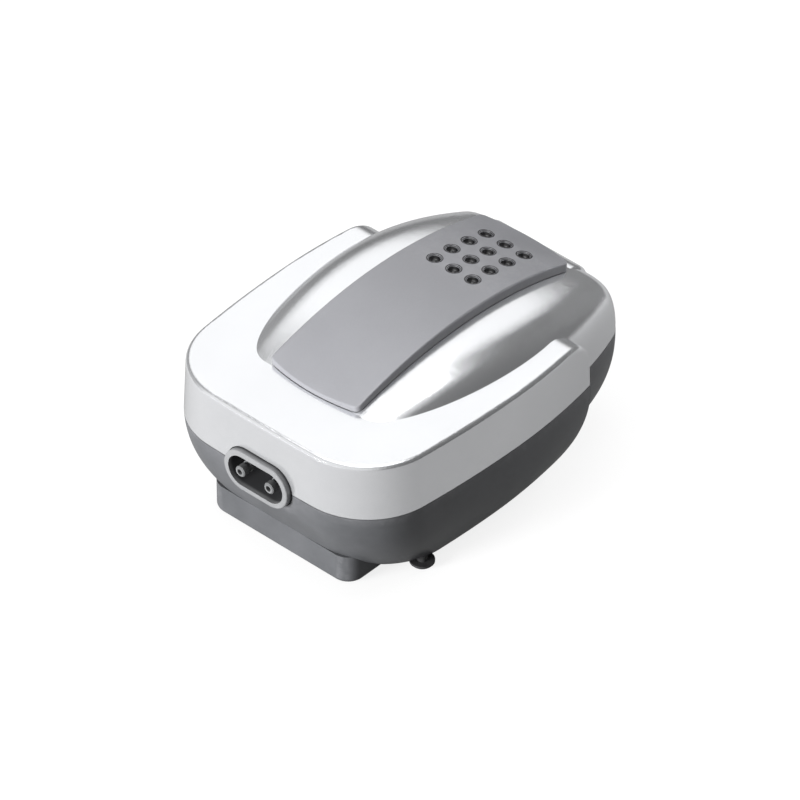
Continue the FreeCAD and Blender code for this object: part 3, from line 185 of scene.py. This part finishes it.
def moulded(name, tone_a, tone_b, cloud_scale, gloss, grain, metallic=0.0,
            fleck=(5000.0, 0.0), wear=0.0, worn=None, **fixed):
    """A Principled material fed by the moulded skin, with worn edges where wear is above 0.

    The two tones and the two gloss values are what the clouds run between. The
    grain is its scale and height in metres, the fleck its scale and share.
    """
    material = bpy.data.materials.new(name)
    material.use_nodes = True
    material.diffuse_color = (*tone_a, 1.0)
    tree = material.node_tree
    shader = tree.nodes["Principled BSDF"]
    shader.inputs["Metallic"].default_value = metallic
    for label, value in fixed.items():
        shader.inputs[label.replace("_", " ")].default_value = value
    skin = tree.nodes.new("ShaderNodeGroup")
    skin.node_tree = skin_group
    skin.inputs["Tone A"].default_value = (*tone_a, 1.0)
    skin.inputs["Tone B"].default_value = (*tone_b, 1.0)
    skin.inputs["Cloud Scale"].default_value = cloud_scale
    skin.inputs["Gloss Low"].default_value, skin.inputs["Gloss High"].default_value = gloss
    skin.inputs["Grain Scale"].default_value, skin.inputs["Grain Height"].default_value = grain
    skin.inputs["Fleck Scale"].default_value, skin.inputs["Fleck"].default_value = fleck
    tree.links.new(skin.outputs["Roughness"], shader.inputs["Roughness"])
    tree.links.new(skin.outputs["Normal"], shader.inputs["Normal"])
    colour = skin.outputs["Color"]
    if wear > 0:
        rubbed = tree.nodes.new("ShaderNodeGroup")
        rubbed.node_tree = wear_group
        rubbed.inputs["Amount"].default_value = wear
        rubbed.inputs["Worn"].default_value = (*worn, 1.0)
        tree.links.new(colour, rubbed.inputs["Fresh"])
        colour = rubbed.outputs["Color"]
    tree.links.new(colour, shader.inputs["Base Color"])
    return material


def finish_in(material, *nodes):
    """Gives these CAD nodes one material."""
    for node in nodes:
        slots = bpy.data.objects[node].data.materials
        slots.clear()
        slots.append(material)


silver_lacquer = moulded(
    "silver_lacquer", tone_a=(0.78, 0.79, 0.81), tone_b=(0.88, 0.89, 0.91),
    cloud_scale=38.0, gloss=(0.17, 0.22), grain=(900.0, 0.000004),
    metallic=0.84, fleck=(5200.0, 0.75), wear=0.25, worn=(0.92, 0.92, 0.93),
    Coat_Weight=0.4, Coat_Roughness=0.05)
finish_in(silver_lacquer, "upper_casing")

# ---------------------------------------------------------------- Lower casing
# Injection moulded in through-coloured dark grey ABS with a satin skin,
# in one piece with the block under its nose. The filter cover clips into it.
dark_abs = moulded(
    "dark_abs", tone_a=(0.060, 0.062, 0.066), tone_b=(0.076, 0.078, 0.083),
    cloud_scale=60.0, gloss=(0.30, 0.40), grain=(1600.0, 0.00002),
    wear=0.35, worn=(0.20, 0.20, 0.21), Specular_IOR_Level=0.4)
finish_in(dark_abs, "lower_casing", "filter_cover")

# ---------------------------------------------------------------- Top cover plate
# A separate moulding sprayed in a satin blue grey and stuck down along the
# roof, with twelve dished blind vents near its rear.
plate_lacquer = moulded(
    "plate_lacquer", tone_a=(0.243, 0.245, 0.262), tone_b=(0.280, 0.282, 0.300),
    cloud_scale=42.0, gloss=(0.34, 0.42), grain=(2200.0, 0.00001),
    metallic=0.3, fleck=(4200.0, 0.6), wear=0.4, worn=(0.42, 0.42, 0.45),
    Coat_Weight=0.25, Coat_Roughness=0.25)
finish_in(plate_lacquer, "top_cover_plate")

# ---------------------------------------------------------------- Outlet bezel and nozzles
# A satin grey moulded tray with a rounded rim, pressed in through the front.
# The two moulded nozzles push through its back, and the airlines slide on
# over their beads.
bezel_grey = moulded(
    "bezel_grey", tone_a=(0.185, 0.188, 0.193), tone_b=(0.215, 0.218, 0.223),
    cloud_scale=80.0, gloss=(0.28, 0.38), grain=(2200.0, 0.00001),
    metallic=0.25, wear=0.3, worn=(0.32, 0.32, 0.33))
nozzle_grey = moulded(
    "nozzle_grey", tone_a=(0.105, 0.108, 0.112), tone_b=(0.135, 0.138, 0.142),
    cloud_scale=160.0, gloss=(0.22, 0.32), grain=(2600.0, 0.00001),
    metallic=0.2, wear=0.4, worn=(0.24, 0.24, 0.24))
RIM_DEPTH = 0.0011


def paint_tray_shade(material, node, rim, shade_colour):
    """Paints shade into a material's colour behind its node's front rim, where light barely
    reaches inside a tray.
    """
    tree = material.node_tree
    shader = tree.nodes["Principled BSDF"]
    split = tree.nodes.new("ShaderNodeSeparateXYZ")
    tree.links.new(tree.nodes.new("ShaderNodeTexCoord").outputs["Object"], split.inputs["Vector"])
    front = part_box(node)[0].y
    depth = add_range(tree, split.outputs["Y"], front + rim, front + 2 * rim, 0.0, 1.0)
    shade = tree.nodes.new("ShaderNodeMix")
    shade.data_type = "RGBA"
    shade.inputs[COLOUR_B].default_value = (*shade_colour, 1.0)
    tree.links.new(depth, shade.inputs["Factor"])
    tree.links.new(shader.inputs["Base Color"].links[0].from_socket, shade.inputs[COLOUR_A])
    tree.links.new(shade.outputs[MIXED_COLOUR], shader.inputs["Base Color"])


# Painted shade: the bezel's grey darkens to near black behind its rim, standing in for the shade
# inside the tray.
paint_tray_shade(bezel_grey, "outlet_bezel", RIM_DEPTH, (0.060, 0.061, 0.064))
finish_in(bezel_grey, "outlet_bezel")
finish_in(nozzle_grey, "left_air_nozzle", "right_air_nozzle")

# ---------------------------------------------------------------- Feet, gland and the inner rubber
# Moulded black rubber: the feet and the cord gland are pushed into the tub,
# and the diaphragms, valve flaps, gaskets and air hoses are clamped or slid
# on inside.
black_rubber = moulded(
    "black_rubber", tone_a=(0.016, 0.016, 0.017), tone_b=(0.034, 0.034, 0.035),
    cloud_scale=220.0, gloss=(0.50, 0.70), grain=(2200.0, 0.00004),
    wear=0.4, worn=(0.07, 0.07, 0.07))
finish_in(black_rubber, "foot_front_left", "foot_front_right",
          "foot_rear_left", "foot_rear_right", "cord_gland")
for side in ("left_", "right_"):
    finish_in(black_rubber, side + "diaphragm", side + "valve_flaps", side + "valve_gasket",
              side + "air_hose")

# ---------------------------------------------------------------- Screws, hinge pins and brackets
# Zinc plated steel: thread-forming screws driven up from deep recesses
# underneath, and the bent brackets and turned pins that carry the two levers.
zinc_plate = moulded(
    "zinc_plate", tone_a=(0.50, 0.50, 0.48), tone_b=(0.70, 0.70, 0.68),
    cloud_scale=300.0, gloss=(0.20, 0.42), grain=(1500.0, 0.00002),
    metallic=1.0)
finish_in(zinc_plate, "casing_screws")
for side in ("left_", "right_"):
    finish_in(zinc_plate, side + "hinge_bracket", side + "hinge_pin")

# ---------------------------------------------------------------- Magnet core
# A stack of punched half millimetre silicon steel sheets, bonded together
# and lightly rusted at their cut edges. It sits in the nylon cradle.
LAMINATION = 0.0005
SHEET_RELIEF = 0.00008
core_steel = moulded(
    "lamination_steel", tone_a=(0.20, 0.21, 0.23), tone_b=(0.36, 0.34, 0.33),
    cloud_scale=180.0, gloss=(0.38, 0.55), grain=(1200.0, 0.00002),
    metallic=0.9)


WAVE_PITCH = math.pi / 10
RIDGE_WOBBLE = 0.3


def ribbed(material, direction, pitch, depth):
    """Adds fine parallel ridges to a material, such as sheet edges or turns of wire."""
    tree = material.node_tree
    ridges = tree.nodes.new("ShaderNodeTexWave")
    ridges.bands_direction = direction
    ridges.inputs["Scale"].default_value = WAVE_PITCH / pitch
    ridges.inputs["Distortion"].default_value = RIDGE_WOBBLE
    tree.links.new(tree.nodes.new("ShaderNodeTexCoord").outputs["Object"], ridges.inputs["Vector"])
    relief = tree.nodes.new("ShaderNodeBump")
    relief.inputs["Distance"].default_value = depth
    shader = tree.nodes["Principled BSDF"]
    tree.links.new(ridges.outputs["Fac"], relief.inputs["Height"])
    tree.links.new(shader.inputs["Normal"].links[0].from_socket, relief.inputs["Normal"])
    tree.links.new(relief.outputs["Normal"], shader.inputs["Normal"])


ribbed(core_steel, "Z", LAMINATION, SHEET_RELIEF)
finish_in(core_steel, "laminated_core")

# ---------------------------------------------------------------- Coil winding
# Fine enamelled copper wire, machine wound in layers on the bobbin between
# its two flanges.
WIRE = 0.00025
WIRE_RELIEF = 0.0001
copper_wire = moulded(
    "enamelled_copper", tone_a=(0.48, 0.19, 0.075), tone_b=(0.57, 0.24, 0.10),
    cloud_scale=600.0, gloss=(0.22, 0.34), grain=(1500.0, 0.00001),
    metallic=0.9)
ribbed(copper_wire, "X", WIRE, WIRE_RELIEF)
finish_in(copper_wire, "coil_winding")

# ---------------------------------------------------------------- Bobbin, levers and valve boxes
# Injection mouldings in natural nylon, off-white and slightly see-through.
# The boxes stand in the side pods, and each lever turns on its hinge pin.
natural_nylon = moulded(
    "natural_nylon", tone_a=(0.70, 0.67, 0.59), tone_b=(0.75, 0.72, 0.64),
    cloud_scale=120.0, gloss=(0.38, 0.50), grain=(1400.0, 0.00003),
    Subsurface_Weight=0.08)
finish_in(natural_nylon, "bobbin", "core_cradle")
for side in ("left_", "right_"):
    finish_in(natural_nylon, side + "lever", side + "diaphragm_button",
              side + "diaphragm_clamp", side + "valve_body", side + "valve_cover")

# ---------------------------------------------------------------- Drive magnets
# Pressed and sintered ferrite blocks, dark and faintly granular, one glued
# to the free end of each lever beside the core.
ferrite = moulded(
    "ferrite", tone_a=(0.045, 0.045, 0.047), tone_b=(0.085, 0.085, 0.088),
    cloud_scale=500.0, gloss=(0.42, 0.65), grain=(900.0, 0.00005),
    metallic=0.3)
finish_in(ferrite, "left_drive_magnet", "right_drive_magnet")

# ---------------------------------------------------------------- Intake filter pad
# Needled polyester felt, cut to the tray in the front block and held there
# by the slotted cover.
needled_felt = moulded(
    "needled_felt", tone_a=(0.50, 0.50, 0.48), tone_b=(0.82, 0.82, 0.80),
    cloud_scale=1600.0, gloss=(0.90, 1.0), grain=(1500.0, 0.0004))
finish_in(needled_felt, "intake_filter_pad")

# ---------------------------------------------------------------- Vent cups
# Each vent in the plate is lined from above with a glossy cup with a turned-over rim and a raised
# boss in its floor.
# Its near-black colour is painted shade, standing in for the dark inside the vent recesses.
VENT_PITCH = 0.0093
VENT_COLUMNS = (-1, 0, 1)
VENT_ROWS = 4
VENT_FIRST = 0.0275
PLATE_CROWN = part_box("top_cover_plate")[1].z
PLATE_BOW = 0.180
PLATE_MIDDLE = 0.010
# Radius and height above the plate, from the boss in the floor out to the rim.
CUP_PROFILE = [
    (0.0, -0.00125), (0.0005, -0.00128), (0.0009, -0.00150), (0.0013, -0.00175),
    (0.0017, -0.00165), (0.0020, -0.00120), (0.00215, -0.00060), (0.0024, -0.00022),
    (0.0028, 0.00006), (0.0031, 0.00008), (0.0032, -0.00002), (0.0031, -0.00010),
]
CUP_SEGMENTS = 40


def lathe(mesh, profile, segments, move):
    """Adds a surface turned about its own Z axis, then moved into place, to a bmesh."""
    rings = []
    for radius, height in profile:
        if radius == 0.0:
            rings.append([mesh.verts.new(move @ Vector((0.0, 0.0, height)))])
            continue
        rings.append([
            mesh.verts.new(move @ Vector((
                radius * math.cos(math.tau * step / segments),
                radius * math.sin(math.tau * step / segments), height)))
            for step in range(segments)
        ])
    for inner, outer in zip(rings, rings[1:]):
        for step in range(segments):
            following = (step + 1) % segments
            corners = [outer[step], outer[following]]
            corners += [inner[following], inner[step]] if len(inner) > 1 else [inner[0]]
            mesh.faces.new(corners).smooth = True


cups = bmesh.new()
for column in VENT_COLUMNS:
    for row in range(VENT_ROWS):
        along = VENT_FIRST + row * VENT_PITCH
        lean = math.asin((along - PLATE_MIDDLE) / PLATE_BOW)
        height = PLATE_CROWN - PLATE_BOW * (1 - math.cos(lean))
        seat = Matrix.Translation((column * VENT_PITCH, along, height))
        lathe(cups, CUP_PROFILE, CUP_SEGMENTS, seat @ Matrix.Rotation(-lean, 4, "X"))
# Painted shade: the cups' near-black colour stands in for the shade inside the vents, while their
# gloss gives the real glint.
vent_shade_black = moulded(
    "vent_shade_black", tone_a=(0.018, 0.018, 0.020), tone_b=(0.028, 0.028, 0.030),
    cloud_scale=300.0, gloss=(0.10, 0.16), grain=(900.0, 0.000004),
    Coat_Weight=0.5, Coat_Roughness=0.05)
cup_data = bpy.data.meshes.new("vent_cups")
cups.to_mesh(cup_data)
cups.free()
cup_data.materials.append(vent_shade_black)
vent_cups = bpy.data.objects.new("vent_cups", cup_data)
scene.collection.objects.link(vent_cups)
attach(vent_cups, "housing")

# ---------------------------------------------------------------- Floor
# A plain pale table top under the pump, which keeps its soft shadow. It
# glows where it is looked at, and far less where the silver mirrors it.
FLOOR_REACH = 6.0
FLOOR_TONE = 0.20
FLOOR_ROUGHNESS = 0.9
FLOOR_GLOW = 0.82
MIRRORED_SHARE = 0.16
floor_data = bpy.data.meshes.new("floor")
floor_data.from_pydata([
    (-FLOOR_REACH, -FLOOR_REACH, 0.0), (FLOOR_REACH, -FLOOR_REACH, 0.0),
    (FLOOR_REACH, FLOOR_REACH, 0.0), (-FLOOR_REACH, FLOOR_REACH, 0.0),
], [], [(0, 1, 2, 3)])
floor = bpy.data.objects.new("floor", floor_data)
scene.collection.objects.link(floor)
table_top = bpy.data.materials.new("table_top")
table_top.use_nodes = True
floor_data.materials.append(table_top)
nodes, links = table_top.node_tree.nodes, table_top.node_tree.links
matt = nodes["Principled BSDF"]
matt.inputs["Base Color"].default_value = (FLOOR_TONE, FLOOR_TONE, FLOOR_TONE, 1.0)
matt.inputs["Roughness"].default_value = FLOOR_ROUGHNESS
matt.inputs["Specular IOR Level"].default_value = 0.0
glow = nodes.new("ShaderNodeEmission")
glow.inputs["Strength"].default_value = FLOOR_GLOW
unlit = nodes.new("ShaderNodeEmission")
unlit.inputs["Strength"].default_value = 0.0
rays = nodes.new("ShaderNodeLightPath")
seen = nodes.new("ShaderNodeMath")
seen.operation = "MAXIMUM"
seen_through = nodes.new("ShaderNodeMath")
seen_through.operation = "MAXIMUM"
links.new(rays.outputs["Is Camera Ray"], seen.inputs[0])
mirrored = nodes.new("ShaderNodeMath")
mirrored.operation = "MULTIPLY"
mirrored.inputs[1].default_value = MIRRORED_SHARE
links.new(rays.outputs["Is Glossy Ray"], mirrored.inputs[0])
links.new(mirrored.outputs["Value"], seen.inputs[1])
links.new(seen.outputs["Value"], seen_through.inputs[0])
links.new(rays.outputs["Is Transmission Ray"], seen_through.inputs[1])
only_seen = nodes.new("ShaderNodeMixShader")
links.new(seen_through.outputs["Value"], only_seen.inputs["Fac"])
links.new(unlit.outputs["Emission"], only_seen.inputs[1])
links.new(glow.outputs["Emission"], only_seen.inputs[2])
lit_and_seen = nodes.new("ShaderNodeAddShader")
links.new(matt.outputs["BSDF"], lit_and_seen.inputs[0])
links.new(only_seen.outputs["Shader"], lit_and_seen.inputs[1])
links.new(lit_and_seen.outputs["Shader"], nodes["Material Output"].inputs["Surface"])

# ---------------------------------------------------------------- Studio surroundings
# A dim room with a broad bright ceiling, a bright screen high to the rear left
# and a softer one in front, so the deck shines from most sides while the
# rounded edges catch the dim room.
ROOM = 0.085
CEILING = 0.9
CEILING_RIM, CEILING_FULL = 0.86, 0.98
SCREENS = (
    # way to its middle, cosines at its rim and where it is full, brightness
    ((-0.52, 0.57, 0.63), 0.89, 0.97, 1.13),
    ((0.0, -0.90, 0.42), 0.40, 0.76, 0.58),
)
world = bpy.data.worlds.new("studio")
scene.world = world
world.use_nodes = True
nodes, links = world.node_tree.nodes, world.node_tree.links
surroundings = nodes["Background"]
way = nodes.new("ShaderNodeTexCoord").outputs["Generated"]
split = nodes.new("ShaderNodeSeparateXYZ")
links.new(way, split.inputs["Vector"])
brightness = add_range(
    world.node_tree, split.outputs["Z"], CEILING_RIM, CEILING_FULL, ROOM, CEILING)
for middle, rim, full, strength in SCREENS:
    facing = nodes.new("ShaderNodeVectorMath")
    facing.operation = "DOT_PRODUCT"
    facing.inputs[1].default_value = Vector(middle).normalized()
    links.new(way, facing.inputs[0])
    screen = add_range(world.node_tree, facing.outputs["Value"], rim, full, 0.0, strength)
    brighter = nodes.new("ShaderNodeMath")
    brighter.operation = "MAXIMUM"
    links.new(brightness, brighter.inputs[0])
    links.new(screen, brighter.inputs[1])
    brightness = brighter.outputs["Value"]
rays = nodes.new("ShaderNodeLightPath")
for kind in ("Is Camera Ray", "Is Transmission Ray"):
    backdrop = nodes.new("ShaderNodeMath")
    backdrop.operation = "MAXIMUM"
    links.new(brightness, backdrop.inputs[0])
    links.new(rays.outputs[kind], backdrop.inputs[1])
    brightness = backdrop.outputs["Value"]
links.new(brightness, surroundings.inputs["Strength"])
surroundings.inputs["Color"].default_value = (1.0, 1.0, 1.0, 1.0)


# ---------------------------------------------------------------- Lamps
# Square soft boxes overhead, low in front, low behind, and weakly at the
# right. Only the overhead one shows in the silver.
PUMP_MIDDLE = Vector((0.0, 0.0, 0.04))


def soft_box(name, place, width, power, shows):
    """A square area lamp aimed at the pump's middle, in metres and watts."""
    data = bpy.data.lights.new(name, "AREA")
    data.size = width
    data.energy = power
    lamp = bpy.data.objects.new(name, data)
    scene.collection.objects.link(lamp)
    lamp.location = place
    lamp.rotation_mode = "QUATERNION"
    lamp.rotation_quaternion = (Vector(place) - PUMP_MIDDLE).to_track_quat("Z", "Y")
    lamp.visible_glossy = shows


soft_box("overhead", place=(-0.20, 0.05, 1.2), width=0.8, power=4.4, shows=True)
soft_box("front", place=(-0.35, -1.3, 0.22), width=0.5, power=56.0, shows=False)
soft_box("rear", place=(0.15, 0.75, 0.35), width=0.5, power=6.0, shows=False)
soft_box("right", place=(1.3, 0.1, 0.3), width=0.5, power=0.8, shows=False)
